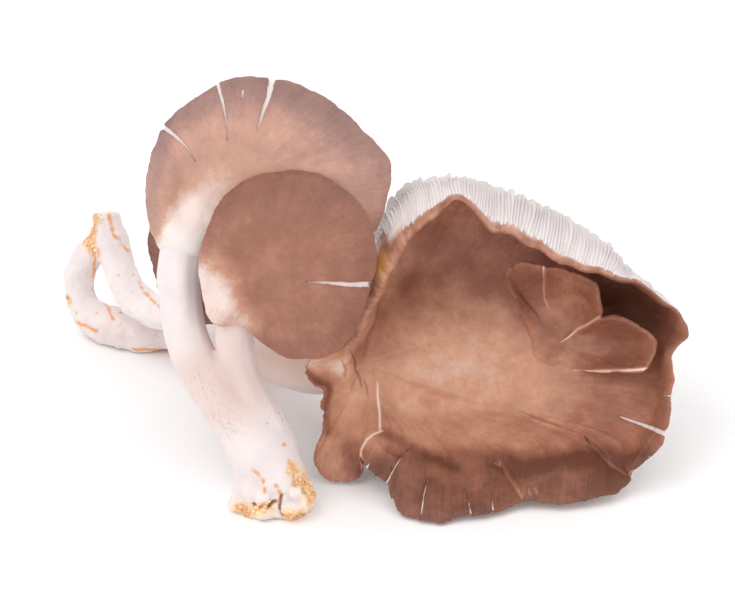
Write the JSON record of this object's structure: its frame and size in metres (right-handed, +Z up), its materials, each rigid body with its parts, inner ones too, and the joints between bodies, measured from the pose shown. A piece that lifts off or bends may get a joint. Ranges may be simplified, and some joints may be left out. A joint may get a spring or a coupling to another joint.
{
  "type": "oyster mushroom cluster",
  "caption": "Cluster of grey oyster mushrooms lying as picked: fan and bowl-shaped brown caps, white gills and stems, sawdust at the torn feet.",
  "frame": {"origin": "on the table, under the middle of the cluster's box", "axes": "+X to the right along the cluster's longest side, from the torn stems to the wide cap; +Y from the front foot to the back stems; +Z up"},
  "size_m": [0.1877, 0.1203, 0.109],
  "materials": {
    "cap_skin": "soft matt skin, tan over the stem and darker brown at the margin",
    "white_flesh": "matt white mushroom flesh with fine gills",
    "sawdust": "crumbly orange sawdust"
  },
  "bodies": {
    "root": {"tall_cap": "cap_skin", "small_cap": "cap_skin", "wide_cap": "cap_skin", "hidden_cap": "cap_skin", "front_stems_and_gills": "white_flesh", "back_stems_and_gills": "white_flesh", "front_substrate": "sawdust", "back_substrate": "sawdust"}
  },
  "joints": []
}
